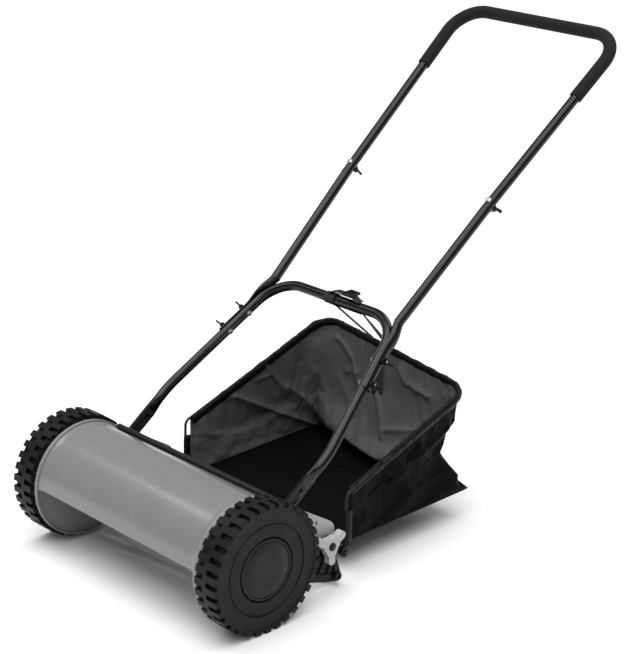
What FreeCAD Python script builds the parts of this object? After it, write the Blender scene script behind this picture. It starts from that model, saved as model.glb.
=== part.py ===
import FreeCAD, Part
import Sketcher
import math
import os

from FreeCAD import Placement, Rotation, Vector

# Push-along cylinder lawn mower with a fabric grass bag, in millimetres.
# +X runs from the left wheel to the right one, +Y from the cutting reel back to the handle
# grip and +Z up. Every sub-part is drawn in the machine's own frame, whose y = 0 is the wheel
# axle and whose z = 0 is the ground, and its Placement moves it back by axle_y, so that the
# origin ends up under the middle of the whole machine.

os.makedirs("parts", exist_ok=True)
doc = FreeCAD.newDocument("cylinder_mower")
X_AXIS = Vector(1, 0, 0)
Y_AXIS = Vector(0, 1, 0)
Z_AXIS = Vector(0, 0, 1)

# ---------------------------------------------------------------- driving dimensions
DIMENSIONS = [
    ("wheel_radius", 115.0, "over the tread lugs"),
    ("half_width", 280.0, "machine centre to the outer face of a wheel"),
    ("wheel_width", 50.0, "across the tread"),
    ("face_radius", 105.4, "moulded wheel disc inside the tread"),
    ("lug_count", 33, "tread lugs in each of the two staggered rows"),
    ("lug_depth", 7.0, "height of a lug over the tread band"),
    ("lug_length", 12.2, "length of a lug round the wheel"),
    ("axle_radius", 8.0, "stub axle"),
    ("gear_module", 2.0, "ring gear and pinion"),
    ("ring_teeth", 52, "internal ring gear in each wheel"),
    ("pinion_teeth", 12, "pinion on each end of the reel shaft"),
    ("plate_gap", 3.0, "wheel to side plate"),
    ("plate_thickness", 2.5, "pressed steel side plate"),
    ("plate_radius", 108.5, "round part of the side plate"),
    ("plate_rim", 9.0, "depth of the side plate's turned rim"),
    ("cowl_radius", 103.0, "outside of the front cowl sheet"),
    ("cowl_thickness", 1.5, "cowl sheet"),
    ("cowl_rear_angle", 48.0, "rear edge of the cowl, up from straight back"),
    ("cowl_front_angle", 175.0, "front edge of the cowl, up from straight back"),
    ("reel_back", 32.0, "reel axis behind the wheel axle"),
    ("reel_drop", 24.0, "reel axis below the wheel axle"),
    ("reel_radius", 59.6, "over the blade edges"),
    ("reel_half_length", 200.0, "half the cutting width"),
    ("blade_count", 5, "helical reel blades"),
    ("blade_twist", 62.0, "turn of one blade from end to end, in degrees"),
    ("shaft_radius", 7.0, "reel shaft between the side plates"),
    ("journal_radius", 6.0, "reel shaft in its bearings and pinions"),
    ("running_gap", 0.06, "radial clearance of a running fit"),
    ("roller_radius", 19.0, "rear roller"),
    ("roller_back", 198.0, "roller axis behind the wheel axle"),
    ("roller_half_length", 205.0, "half the roller"),
    ("height_pivot_back", 112.0, "height bracket pivot behind the wheel axle"),
    ("height_pivot_up", 46.0, "height bracket pivot above the ground"),
    ("height_travel", 8.0, "swing of the height brackets, in degrees"),
    ("knob_back", 175.0, "clamp knob behind the wheel axle"),
    ("knob_up", 87.0, "clamp knob above the ground"),
    ("tube_radius", 9.4, "handle tube"),
    ("tube_wall", 1.2, "handle tube wall"),
    ("grip_radius", 12.3, "foam grip"),
    ("handle_joint_back", 611.6, "seam between middle and upper handle"),
    ("handle_joint_up", 582.9, "seam between middle and upper handle"),
    ("handle_joint_side", 178.4, "seam, out from the machine centre"),
    ("upper_slope", 38.2, "upper handle above horizontal, in degrees"),
    ("upper_length", 432.0, "seam to the middle of the top bar"),
    ("grip_start", 279.0, "seam to the lower end of the foam grip"),
    ("upper_flare", 0.0522, "outward run of an upper leg per unit of length"),
    ("bag_pivot_back", 230.0, "bag hanger peg behind the wheel axle"),
    ("bag_pivot_up", 47.0, "bag hanger peg above the ground"),
    ("bag_wire_radius", 2.5, "bag frame wire"),
    ("bag_wall", 3.0, "fabric with its backing"),
]


class Size:
    """A dimension that carries its value and the sheet formula it comes from."""

    def __init__(self, value, text):
        self.value = float(value)
        self.text = text

    def __float__(self):
        return self.value

    def __add__(self, other):
        return Size(self.value + float(other), f"({self.text} + {formula(other)})")

    __radd__ = __add__

    def __sub__(self, other):
        return Size(self.value - float(other), f"({self.text} - {formula(other)})")

    def __rsub__(self, other):
        return Size(float(other) - self.value, f"({formula(other)} - {self.text})")

    def __mul__(self, other):
        return Size(self.value * float(other), f"({self.text} * {formula(other)})")

    __rmul__ = __mul__

    def __truediv__(self, other):
        return Size(self.value / float(other), f"({self.text} / {formula(other)})")

    def __neg__(self):
        return Size(-self.value, f"(0 - {self.text})")


def formula(number):
    """The sheet formula of a Size, or a plain number as text."""
    return number.text if isinstance(number, Size) else repr(float(number))


def make_sheet():
    """The Sizes sheet: name, value and note of every driving dimension, one per row."""
    table = doc.addObject("Spreadsheet::Sheet", "Sizes")
    sizes = {}
    for row, (name, value, note) in enumerate(DIMENSIONS, start=1):
        table.set(f"A{row}", name)
        table.set(f"B{row}", str(value))
        table.setAlias(f"B{row}", name)
        table.set(f"C{row}", note)
        sizes[name] = Size(value, f"Sizes.{name}")
    row = len(DIMENSIONS) + 1
    table.set(f"A{row}", "axle_y")
    slope = math.radians(float(sizes["upper_slope"]))
    rear_end = float(sizes["handle_joint_back"] + sizes["grip_radius"])
    rear_end += float(sizes["upper_length"]) * math.cos(slope)
    front_end = math.hypot(float(sizes["wheel_radius"]), float(sizes["lug_length"]) / 2)
    axle_y = (front_end - rear_end) / 2
    table.set(f"B{row}", str(axle_y))
    table.setAlias(f"B{row}", "axle_y")
    table.set(f"C{row}", "wheel axle, with the origin under the middle of the machine")
    sizes["axle_y"] = Size(axle_y, "Sizes.axle_y")
    return sizes


size = make_sheet()
doc.recompute()
NODES = []

WHEEL_INNER = size["half_width"] - size["wheel_width"]
PLATE_OUTER = WHEEL_INNER - size["plate_gap"]
PLATE_INNER = PLATE_OUTER - size["plate_thickness"]
REEL_Y = size["reel_back"]
REEL_Z = size["wheel_radius"] - size["reel_drop"]


# ---------------------------------------------------------------- shared helpers
def bind(thing, path, number):
    """Set a property, through the sheet where the number comes from it."""
    if isinstance(number, Size):
        thing.setExpression(path, number.text)
    else:
        setattr(thing, path, number)


def settle(thing, x=0.0, y=0.0, z=0.0, rotation=None):
    """Place a sub-part's own origin at a point of the machine frame."""
    thing.Placement = Placement(Vector(0, 0, 0), rotation or Rotation())
    for axis, number in (("x", x), ("y", size["axle_y"] + y), ("z", z)):
        thing.setExpression(f"Placement.Base.{axis}", formula(number))
    return thing


def node(thing):
    """Register a finished sub-part."""
    NODES.append(thing)
    return thing


def new_body(label, x=0.0, y=0.0, z=0.0, rotation=None):
    body = doc.addObject("PartDesign::Body", label)
    body.Label = label
    return settle(body, x, y, z, rotation)


def origin_feature(body, role):
    return next(item for item in body.Origin.OriginFeatures if item.Role == role)


def new_sketch(body, name, plane, offset=0.0):
    """A sketch on one of the body's own planes, moved along that plane's normal."""
    sketch = body.newObject("Sketcher::SketchObject", name)
    sketch.AttachmentSupport = (origin_feature(body, plane), "")
    sketch.MapMode = "FlatFace"
    sketch.setExpression("AttachmentOffset.Base.z", formula(offset))
    return sketch


def hold(sketch, kind, geometry, point, number):
    """Hold one coordinate of a point, or a radius where point is None."""
    parts = (geometry,) if point is None else (geometry, point)
    index = sketch.addConstraint(Sketcher.Constraint(kind, *parts, float(number)))
    if isinstance(number, Size):
        sketch.setExpression(f"Constraints[{index}]", number.text)


def draw_polygon(sketch, corners):
    """Closed outline with each corner held by two coordinates."""
    first = sketch.GeometryCount
    spots = [Vector(float(u), float(v), 0) for u, v in corners]
    count = len(spots)
    for i in range(count):
        sketch.addGeometry(Part.LineSegment(spots[i], spots[(i + 1) % count]), False)
    for i in range(count):
        after = first + (i + 1) % count
        sketch.addConstraint(Sketcher.Constraint("Coincident", first + i, 2, after, 1))
    for i, (u, v) in enumerate(corners):
        hold(sketch, "DistanceX", first + i, 1, u)
        hold(sketch, "DistanceY", first + i, 1, v)


def draw_circle(sketch, u, v, radius):
    index = sketch.addGeometry(
        Part.Circle(Vector(float(u), float(v), 0), Z_AXIS, float(radius)), False)
    hold(sketch, "DistanceX", index, 3, u)
    hold(sketch, "DistanceY", index, 3, v)
    hold(sketch, "Radius", index, None, radius)


def draw_belt(sketch, discs):
    """The outline of a belt pulled round discs (u, v, radius), listed anticlockwise."""
    first = sketch.GeometryCount
    count = len(discs)
    angles = []
    for i in range(count):
        u1, v1, r1 = (float(number) for number in discs[i])
        u2, v2, r2 = (float(number) for number in discs[(i + 1) % count])
        reach = math.hypot(u2 - u1, v2 - v1)
        angles.append(math.atan2(v2 - v1, u2 - u1) - math.acos((r1 - r2) / reach))
    for i in range(count):
        u, v, radius = (float(number) for number in discs[i])
        begin = angles[i - 1]
        end = angles[i]
        while end < begin:
            end += 2 * math.pi
        circle = Part.Circle(Vector(u, v, 0), Z_AXIS, radius)
        sketch.addGeometry(Part.ArcOfCircle(circle, begin, end), False)
    for i in range(count):
        ends = []
        for disc in (discs[i], discs[(i + 1) % count]):
            u, v, radius = (float(number) for number in disc)
            ends.append(Vector(u + radius * math.cos(angles[i]),
                               v + radius * math.sin(angles[i]), 0))
        sketch.addGeometry(Part.LineSegment(ends[0], ends[1]), False)
    for i, (u, v, radius) in enumerate(discs):
        arc = first + i
        line = first + count + i
        next_arc = first + (i + 1) % count
        sketch.addConstraint(Sketcher.Constraint("Tangent", arc, 2, line, 1))
        sketch.addConstraint(Sketcher.Constraint("Tangent", line, 2, next_arc, 1))
        hold(sketch, "DistanceX", arc, 3, u)
        hold(sketch, "DistanceY", arc, 3, v)
        hold(sketch, "Radius", arc, None, radius)


def pad(body, sketch, length, name, backwards=False):
    feature = body.newObject("PartDesign::Pad", name)
    feature.Profile = sketch
    bind(feature, "Length", length)
    feature.Reversed = backwards
    return feature


def pocket(body, sketch, length, name, forwards=True):
    """Cut along the sketch plane's normal, or against it."""
    feature = body.newObject("PartDesign::Pocket", name)
    feature.Profile = sketch
    bind(feature, "Length", length)
    feature.Reversed = forwards
    return feature


def turned(label, profile, x=0.0, y=0.0, z=0.0, rotation=None, angle=360.0):
    """A body turned about its own X axis from a profile of (along, radius) corners."""
    body = new_body(label, x, y, z, rotation)
    sketch = new_sketch(body, f"{label}_profile", "XY_Plane")
    draw_polygon(sketch, profile)
    feature = body.newObject("PartDesign::Revolution", f"{label}_turned")
    feature.Profile = sketch
    feature.ReferenceAxis = (sketch, ["H_Axis"])
    bind(feature, "Angle", angle)
    return body


def polar(body, originals, count, name):
    """Repeat features about the body's own X axis."""
    pattern = body.newObject("PartDesign::PolarPattern", name)
    pattern.Originals = originals
    pattern.Axis = (origin_feature(body, "X_Axis"), [""])
    pattern.Angle = 360
    bind(pattern, "Occurrences", count)
    body.Tip = pattern
    return pattern


def mirrored(source, label):
    """The left-hand twin of a right-hand sub-part."""
    twin = doc.addObject("Part::Mirroring", label)
    twin.Label = label
    twin.Source = source
    twin.Normal = X_AXIS
    twin.Base = Vector(0, 0, 0)
    return node(twin)


def grouped(label, members):
    """One sub-part made of equal separate pieces."""
    group = doc.addObject("Part::Compound", label)
    group.Label = label
    group.Links = members
    return node(group)


def twins(label, right):
    """One sub-part made of a right-hand piece and its left-hand twin."""
    twin = doc.addObject("Part::Mirroring", f"{label}_twin")
    twin.Source = right
    twin.Normal = X_AXIS
    twin.Base = Vector(0, 0, 0)
    return grouped(label, [right, twin])


def both_sides(right):
    """Register a right-hand sub-part and make its left-hand twin."""
    node(right)
    mirrored(right, right.Label.replace("_right", "_left"))
    return right


def shape_node(label, shape):
    """A sub-part whose bent, twisted or grouped shape is built from Part's functions."""
    feature = doc.addObject("Part::Feature", label)
    feature.Label = label
    feature.Shape = Part.makeCompound([shape])
    settle(feature)
    return node(feature)


def rounded_path(corners, radii):
    """Straight runs through the corners, joined by tangent arcs of the given radii."""
    edges = []
    start = corners[0]
    for i in range(1, len(corners) - 1):
        corner = corners[i]
        back = (corners[i - 1] - corner).normalize()
        ahead = (corners[i + 1] - corner).normalize()
        half = back.getAngle(ahead) / 2
        trim = radii[i - 1] / math.tan(half)
        enter = corner + back * trim
        leave = corner + ahead * trim
        inward = (back + ahead).normalize()
        middle = corner + inward * (radii[i - 1] / math.sin(half) - radii[i - 1])
        edges.append(Part.LineSegment(start, enter).toShape())
        edges.append(Part.Arc(enter, middle, leave).toShape())
        start = leave
    edges.append(Part.LineSegment(start, corners[-1]).toShape())
    return Part.Wire(edges)


def rod_along(path, radius):
    """A round rod that follows a path."""
    first = path.OrderedEdges[0]
    direction = first.tangentAt(first.FirstParameter)
    ring = Part.Wire(Part.makeCircle(float(radius), path.OrderedVertexes[0].Point, direction))
    return path.makePipeShell([ring], True, False)


def across(corners):
    """A path's right-hand corners followed by their mirror images."""
    return corners + [Vector(-spot.x, spot.y, spot.z) for spot in reversed(corners)]


def turned_shape(profile, spot, direction):
    """A solid of revolution from (along, radius) corners, set on a spot along a direction."""
    outline = [Vector(0, float(radius), float(along)) for along, radius in profile]
    face = Part.Face(Part.makePolygon(outline + outline[:1]))
    solid = face.revolve(Vector(0, 0, 0), Z_AXIS, 360)
    solid.Placement = Placement(spot, Rotation(Z_AXIS, direction))
    return solid


def screw_profile(shank, length, head, height):
    """A domed-head screw: its head rises from 0, its shank runs the other way."""
    return [(-length, 0), (-length, shank), (0, shank), (0, head), (height * 0.45, head),
            (height * 0.85, head * 0.6), (height, 0)]


# ---------------------------------------------------------------- wheels and drive
def involute_half_angle(teeth, radius):
    """Half the angle that a 20 degree involute tooth takes up at a radius."""
    pitch = float(size["gear_module"]) * teeth / 2
    base = pitch * math.cos(math.radians(20))
    slope = math.acos(min(1.0, base / max(radius, base)))
    roll = math.tan(slope) - slope
    pitch_roll = math.tan(math.radians(20)) - math.radians(20)
    return math.pi / (2 * teeth) + pitch_roll - roll


def gear_corners(teeth, root, tip, ease):
    """Corners of a toothed outline: ease moves each flank in, as a length at the pitch."""
    radii = [root, root + (tip - root) * 0.4, root + (tip - root) * 0.7, tip]
    shift = ease / (float(size["gear_module"]) * teeth / 2)
    corners = []
    for tooth in range(int(teeth)):
        middle = 2 * math.pi * tooth / teeth
        flank = [(radius, involute_half_angle(teeth, radius) - shift) for radius in radii]
        sides = [(radius, -half) for radius, half in flank]
        sides += [(radius, half) for radius, half in reversed(flank)]
        for radius, turn in sides:
            corners.append(Vector(0, radius * math.cos(middle + turn),
                                  radius * math.sin(middle + turn)))
    return corners


def gear_prism(corners, begin, end):
    face = Part.Face(Part.makePolygon(corners + corners[:1]))
    prism = face.extrude(Vector(end - begin, 0, 0))
    prism.translate(Vector(begin, 0, 0))
    return prism


MESH_ANGLE = -math.degrees(math.atan2(float(size["reel_drop"]), float(size["reel_back"])))


def make_wheel():
    """Moulded disc wheel with stepped face, hub boss and a seat for the ring gear."""
    inner = WHEEL_INNER
    outer = size["half_width"]
    rim = size["face_radius"]
    bore = size["axle_radius"] + size["running_gap"]
    profile = [
        (inner + 2, bore), (inner + 2, 18), (outer - 14, 18), (outer - 14, 54.8),
        (inner + 19, 54.8), (inner + 19, 58.05), (inner + 3, 58.05), (inner + 3, 62),
        (outer - 6, 62), (outer - 6, rim - 5), (inner + 1, rim - 5), (inner + 1, rim),
        (outer - 1, rim), (outer - 1, rim - 2), (outer - 2.2, rim - 4), (outer - 2.2, 82.2),
        (outer - 4.4, 81.6), (outer - 4.4, 79.8), (outer - 2.8, 79.2), (outer - 2.8, 57.2),
        (outer - 5.2, 56.4), (outer - 7.5, 54.6), (outer - 7.5, 48), (outer - 10, 48),
        (outer - 10, 22), (outer - 12, 20), (outer - 12, bore),
    ]
    wheel = turned("wheel_right", profile, z=size["wheel_radius"])
    both_sides(wheel)


def make_tread():
    """Tread band with two staggered rows of flat-topped lugs."""
    inner = WHEEL_INNER
    outer = size["half_width"]
    band = size["wheel_radius"] - size["lug_depth"]
    profile = [(inner, size["face_radius"] + 0.02), (outer, size["face_radius"] + 0.02),
               (outer, band), (inner, band)]
    tread = turned("tread_right", profile, z=size["wheel_radius"])
    half = size["lug_length"] / 2
    rows = [("outer_lug", outer - 31, 31, size["wheel_radius"], -1),
            ("inner_lug", inner, 28, size["wheel_radius"] - 0.2, 1)]
    for name, begin, length, top, sign in rows:
        sketch = new_sketch(tread, name, "YZ_Plane", begin)
        draw_polygon(sketch, [(-half, (band - 1) * sign), (half, (band - 1) * sign),
                              (half, top * sign), (-half, top * sign)])
        lug = pad(tread, sketch, length, f"{name}_pad")
        lug.Refine = False
        row = polar(tread, [lug], size["lug_count"], f"{name}_row")
        row.Refine = False
    both_sides(tread)


def make_hub_cap():
    """Stepped round cap that snaps into the wheel's face over the axle end."""
    outer = size["half_width"]
    profile = [
        (outer - 7.4, 54.2), (outer - 3.4, 54.2), (outer - 2.6, 53.2), (outer - 2.6, 50.6),
        (outer - 4.2, 49.8), (outer - 4.2, 48.8), (outer - 3.0, 47.6), (outer - 0.8, 38.5),
        (outer - 0.2, 36), (outer, 33), (outer, 0), (outer - 3, 0), (outer - 3, 32),
        (outer - 5.5, 44), (outer - 7.4, 46.5),
    ]
    both_sides(turned("hub_cap_right", profile, z=size["wheel_radius"]))


def make_gears():
    """Internal ring gear seated in each wheel and the pinion that it drives."""
    inner = float(WHEEL_INNER)
    ring_teeth = float(size["ring_teeth"])
    module = float(size["gear_module"])
    pitch = module * ring_teeth / 2
    gap = gear_corners(ring_teeth, pitch - 0.8 * module, pitch + 1.1 * module, -0.12)
    ring = Part.makeCylinder(58, 14.5, Vector(inner + 3.5, 0, 0), X_AXIS)
    ring = ring.cut(gear_prism(gap, inner + 3, inner + 19))
    ring.rotate(Vector(0, 0, 0), X_AXIS, MESH_ANGLE)
    ring.translate(Vector(0, 0, float(size["wheel_radius"])))
    both_sides_shape("ring_gear_right", ring)

    pinion_teeth = float(size["pinion_teeth"])
    pitch = module * pinion_teeth / 2
    corners = gear_corners(pinion_teeth, pitch - 1.1 * module, pitch + 0.8 * module, 0.22)
    pinion = gear_prism(corners, inner + 4, inner + 17)
    hub = Part.makeCylinder(9.2, 2, Vector(inner + 17, 0, 0), X_AXIS)
    bore = float(size["journal_radius"] + size["running_gap"])
    hole = Part.makeCylinder(bore, 20, Vector(inner + 2, 0, 0), X_AXIS)
    pinion = pinion.fuse(hub).cut(hole)
    pinion.rotate(Vector(0, 0, 0), X_AXIS, MESH_ANGLE)
    pinion.translate(Vector(0, float(REEL_Y), float(REEL_Z)))
    both_sides_shape("pinion_right", pinion)


def both_sides_shape(label, shape):
    right = shape_node(label, shape)
    mirrored(right, label.replace("_right", "_left"))


# ---------------------------------------------------------------- cutting reel
def make_reel():
    """Shaft, four spiders and five twisted blades that turn as one."""
    plate = WHEEL_INNER
    shoulder = PLATE_INNER - 13
    shaft = [(-shoulder, 0), (-shoulder, size["shaft_radius"]),
             (shoulder, size["shaft_radius"]), (shoulder, size["journal_radius"]),
             (plate + 20, size["journal_radius"]), (plate + 21, size["journal_radius"] - 1),
             (plate + 21, 0), (-plate - 21, 0), (-plate - 21, size["journal_radius"] - 1),
             (-plate - 20, size["journal_radius"]), (-shoulder, size["journal_radius"])]
    profile = [shaft[6], shaft[5], shaft[4], shaft[3], shaft[2], shaft[1], shaft[10],
               shaft[9], shaft[8], shaft[7]]
    node(turned("reel_shaft", profile, y=REEL_Y, z=REEL_Z))

    spiders = []
    places = [-0.94, -0.32, 0.32, 0.94]
    for number, place in enumerate(places, start=1):
        spider = new_body(f"spider_{number}", size["reel_half_length"] * place,
                          REEL_Y, REEL_Z)
        outline = new_sketch(spider, f"spider_{number}_disc", "YZ_Plane", -1.25)
        draw_circle(outline, 0, 0, size["reel_radius"] - 14.1)
        draw_circle(outline, 0, 0, size["shaft_radius"] + 0.02)
        pad(spider, outline, 2.5, f"spider_{number}_pad")
        window = new_sketch(spider, f"spider_{number}_window", "YZ_Plane", -2)
        draw_circle(window, size["reel_radius"] * 0.45, 0, size["reel_radius"] * 0.16)
        hole = pocket(spider, window, 4, f"spider_{number}_hole")
        polar(spider, [hole], size["blade_count"], f"spider_{number}_holes")
        spiders.append(spider)
    grouped("reel_spiders", spiders)

    half = float(size["reel_half_length"])
    outer = float(size["reel_radius"])
    inner = outer - 14
    count = int(float(size["blade_count"]))
    steps = 10
    for number in range(count):
        sections = []
        for step in range(steps + 1):
            along = -half + 2 * half * step / steps
            turn = math.radians(360 / count * number
                                + float(size["blade_twist"]) * along / (2 * half))
            corners = []
            for radius, side in ((inner, -1), (outer, -1), (outer, 1), (inner, 1)):
                lean = 0.16 * (radius - inner) / (outer - inner)
                swing = turn + lean + side * 1.25 / radius
                corners.append(Vector(along, radius * math.cos(swing),
                                      radius * math.sin(swing)))
            sections.append(Part.makePolygon(corners + corners[:1]))
        blade = Part.makeLoft(sections, True, False)
        blade.translate(Vector(0, float(REEL_Y), float(REEL_Z)))
        shape_node(f"reel_blade_{number + 1}", blade)


# ---------------------------------------------------------------- chassis
PLATE_UPPER = (180.0, 106.0, 20.0)
PLATE_LOWER = (150.0, 62.0, 15.0)
HANDLE_BOLTS = [(92.0, 165.7), (62.0, 143.4)]


def make_side_plate():
    """Pressed plate behind a wheel: a round drum end that runs back to the roller fittings."""
    body = new_body("side_plate_right")
    disc = (0.0, size["wheel_radius"], size["plate_radius"])
    wall = size["plate_thickness"]
    outline = new_sketch(body, "plate_outline", "YZ_Plane", PLATE_OUTER)
    draw_belt(outline, [disc, PLATE_LOWER, PLATE_UPPER])
    pad(body, outline, size["plate_rim"], "plate_pad", backwards=True)
    doc.recompute()
    solid = body.Tip
    edges = round_rim_edges(body)
    fillet = body.newObject("PartDesign::Fillet", "plate_round")
    fillet.Base = (solid, edges)
    fillet.Radius = 2.4
    inside = new_sketch(body, "plate_inside", "YZ_Plane", PLATE_INNER)
    shrunk = [(y, z, radius - wall) for y, z, radius in (disc, PLATE_LOWER, PLATE_UPPER)]
    draw_belt(inside, shrunk)
    pocket(body, inside, size["plate_rim"], "plate_hollow", forwards=False)
    holes = new_sketch(body, "plate_holes", "YZ_Plane", PLATE_OUTER + 1)
    draw_circle(holes, 0, size["wheel_radius"], size["axle_radius"] + 0.02)
    draw_circle(holes, REEL_Y, REEL_Z, 11.02)
    draw_circle(holes, size["knob_back"], size["knob_up"], 4.02)
    draw_circle(holes, size["height_pivot_back"], size["height_pivot_up"] + 10, 4)
    for y, z in HANDLE_BOLTS:
        draw_circle(holes, y, z, 3.52)
    pocket(body, holes, size["plate_thickness"] + 2, "plate_drill", forwards=False)
    slot = new_sketch(body, "plate_slot", "YZ_Plane", PLATE_OUTER + 1)
    draw_belt(slot, [(157.0, 133.0, 2.0), (157.0, 127.0, 2.0)])
    pocket(body, slot, size["plate_thickness"] + 2, "plate_slot_cut", forwards=False)
    both_sides(body)


def round_rim_edges(body):
    """The outer edge of the turned rim, where the plate was folded over."""
    outer = float(PLATE_OUTER)
    names = []
    for number, edge in enumerate(body.Tip.Shape.Edges, start=1):
        box = edge.BoundBox
        flat = abs(box.XMin - outer) < 1e-3 and abs(box.XMax - outer) < 1e-3
        if flat:
            names.append(f"Edge{number}")
    return names


def make_cowl():
    """Curved front cover: a rolled sheet with an end flange screwed to each side plate."""
    end = PLATE_INNER - 0.02
    outer = size["cowl_radius"]
    wall = size["cowl_thickness"]
    flange = outer - 13
    raised = outer + 2.9
    half = [(end - wall, flange), (end - wall, raised - wall), (end - 11, raised - wall),
            (end - 19, outer - wall)]
    outside = [(end, flange), (end, raised), (end - 11.4, raised), (end - 19.4, outer)]
    profile = [(-along, radius) for along, radius in outside] + outside[::-1]
    profile += half + [(-along, radius) for along, radius in half[::-1]]
    sweep = size["cowl_front_angle"] - size["cowl_rear_angle"]
    rotation = Rotation(X_AXIS, float(size["cowl_rear_angle"]))
    node(turned("cowl", profile, z=size["wheel_radius"], rotation=rotation, angle=sweep))

    middle = float(size["cowl_radius"]) - 8
    screws = []
    for side in (-1, 1):
        for angle in (65, 110, 155):
            y = middle * math.cos(math.radians(angle))
            z = middle * math.sin(math.radians(angle)) + float(size["wheel_radius"])
            spot = Vector(side * (float(PLATE_INNER) - 1.54), y, z)
            head = [(0, 0), (0, 4), (2, 3), (2.6, 0)]
            screws.append(turned_shape(head, spot, Vector(-side, 0, 0)))
    shape_node("cowl_screws", Part.makeCompound(screws))


def make_rear_bar():
    """Tie bar welded between the rims of the side plates, just behind the cowl."""
    angle = math.radians(45)
    reach = size["plate_radius"] + 1.5
    end = PLATE_OUTER - size["plate_rim"] - 0.02
    profile = [(-end, 0), (-end, 6), (end, 6), (end, 0)]
    node(turned("rear_bar", profile, y=reach * math.cos(angle),
                z=size["wheel_radius"] + reach * math.sin(angle)))


def make_bed():
    """Cutter bar that the reel shears against, with its knife and screws."""
    end = PLATE_INNER - 0.05
    bar = new_body("bed_bar")
    sketch = new_sketch(bar, "bed_section", "YZ_Plane", -end)
    draw_polygon(sketch, [(REEL_Y + 18, 25), (REEL_Y + 35, 25), (REEL_Y + 35, 39),
                          (REEL_Y + 32, 39), (REEL_Y + 30.5, 29.4), (REEL_Y + 18, 29.4)])
    pad(bar, sketch, end * 2, "bed_pad")
    node(bar)

    knife = new_body("bed_knife")
    blade = new_sketch(knife, "knife_section", "YZ_Plane", -size["reel_half_length"] - 6)
    draw_polygon(blade, [(REEL_Y + 10, 31.4), (REEL_Y + 12.5, 29.45), (REEL_Y + 30, 29.45),
                         (REEL_Y + 30, 31.4)])
    pad(knife, blade, size["reel_half_length"] * 2 + 12, "knife_pad")
    node(knife)

    heads = []
    for place in (-0.8, -0.4, 0, 0.4, 0.8):
        spot = Vector(place * float(size["reel_half_length"]), float(REEL_Y) + 25, 31.42)
        heads.append(turned_shape([(0, 0), (0, 4.2), (1.4, 3), (1.8, 0)], spot, Z_AXIS))
    shape_node("bed_knife_screws", Part.makeCompound(heads))


def make_axle_and_bearing():
    """Stub axle riveted to the side plate, its retaining ring and the reel's bearing bush."""
    inner = PLATE_INNER
    tip = size["half_width"] - 8
    radius = size["axle_radius"]
    axle = [(inner - 3, 0), (inner - 3, 21), (inner - 0.02, 21), (inner - 0.02, radius),
            (tip - 1, radius), (tip, radius - 1), (tip, 0)]
    twins("stub_axles", turned("stub_axle", axle, z=size["wheel_radius"]))

    begin = size["half_width"] - 11.6
    ring = [(begin, radius + 0.02), (begin, radius + 4.5), (begin + 1.4, radius + 4.5),
            (begin + 1.4, radius + 0.02)]
    twins("axle_rings", turned("axle_ring", ring, z=size["wheel_radius"]))

    bore = size["journal_radius"] + size["running_gap"]
    bush = [(inner - 11, bore), (inner - 11, 11), (inner - 3, 11), (inner - 3, 16),
            (inner - 0.02, 16), (inner - 0.02, 11), (PLATE_OUTER + 1.5, 11),
            (PLATE_OUTER + 1.5, bore)]
    twins("reel_bearings", turned("reel_bearing", bush, y=REEL_Y, z=REEL_Z))


# ---------------------------------------------------------------- height adjustment
BRACKET_INNER = PLATE_OUTER + 1.0
BRACKET_THICKNESS = 6.0


def make_height_brackets():
    """Brackets that swing on the side plates and carry the rear roller's rod."""
    pivot = (size["height_pivot_back"], size["height_pivot_up"])
    knob = (size["knob_back"], size["knob_up"])
    roller = (size["roller_back"], size["roller_radius"])
    body = new_body("height_bracket_right")
    plate = new_sketch(body, "bracket_outline", "YZ_Plane", BRACKET_INNER)
    draw_belt(plate, [(*pivot, 13.0), (*roller, 12.0), (*knob, 14.0)])
    pad(body, plate, 3.0, "bracket_plate")
    for number, (spot, radius) in enumerate(((pivot, 10.0), (roller, 10.0)), start=1):
        boss = new_sketch(body, f"bracket_boss_{number}", "YZ_Plane", BRACKET_INNER)
        draw_circle(boss, *spot, radius)
        pad(body, boss, BRACKET_THICKNESS, f"bracket_boss_{number}_pad")
    ribs = [((*pivot, 2.0), (*roller, 2.0)), ((*pivot, 2.0), (163.0, 69.0, 2.0)),
            ((190.0, 60.0, 2.0), (*roller, 2.0)), ((134.0, 40.0, 1.5), (150.0, 60.0, 1.5)),
            ((156.0, 33.0, 1.5), (170.0, 58.0, 1.5)), ((176.0, 27.0, 1.5), (186.0, 50.0, 1.5))]
    for number, discs in enumerate(ribs, start=1):
        rib = new_sketch(body, f"bracket_rib_{number}", "YZ_Plane", BRACKET_INNER)
        draw_belt(rib, list(discs))
        pad(body, rib, BRACKET_THICKNESS, f"bracket_rib_{number}_pad")
    drill = new_sketch(body, "bracket_drill", "YZ_Plane", BRACKET_INNER - 1)
    draw_circle(drill, *pivot, 4.06)
    draw_circle(drill, *roller, 4.02)
    pocket(body, drill, BRACKET_THICKNESS + 2, "bracket_holes")
    both_sides(cut_arc_slot(body))

    rod_end = float(BRACKET_INNER) + BRACKET_THICKNESS + 1
    rod = [(-rod_end, 0), (-rod_end, 4), (rod_end, 4), (rod_end, 0)]
    node(turned("roller_rod", rod, y=roller[0], z=roller[1]))
    cap = [(rod_end + 0.02, 0), (rod_end + 0.02, 8), (rod_end + 3.5, 8), (rod_end + 5, 6.5),
           (rod_end + 5, 3.4), (rod_end + 2, 3.0), (rod_end + 2, 0)]
    twins("rod_caps", turned("rod_cap", cap, y=roller[0], z=roller[1]))

    half = size["roller_half_length"]
    radius = size["roller_radius"]
    profile = [(-half, 4.06), (-half, radius - 1.5), (1.5 - half, radius), (half - 1.5, radius),
               (half, radius - 1.5), (half, 4.06), (half - 8, 4.06), (half - 8, radius - 3),
               (8 - half, radius - 3), (8 - half, 4.06)]
    node(turned("rear_roller", profile, y=roller[0], z=roller[1]))


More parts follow.
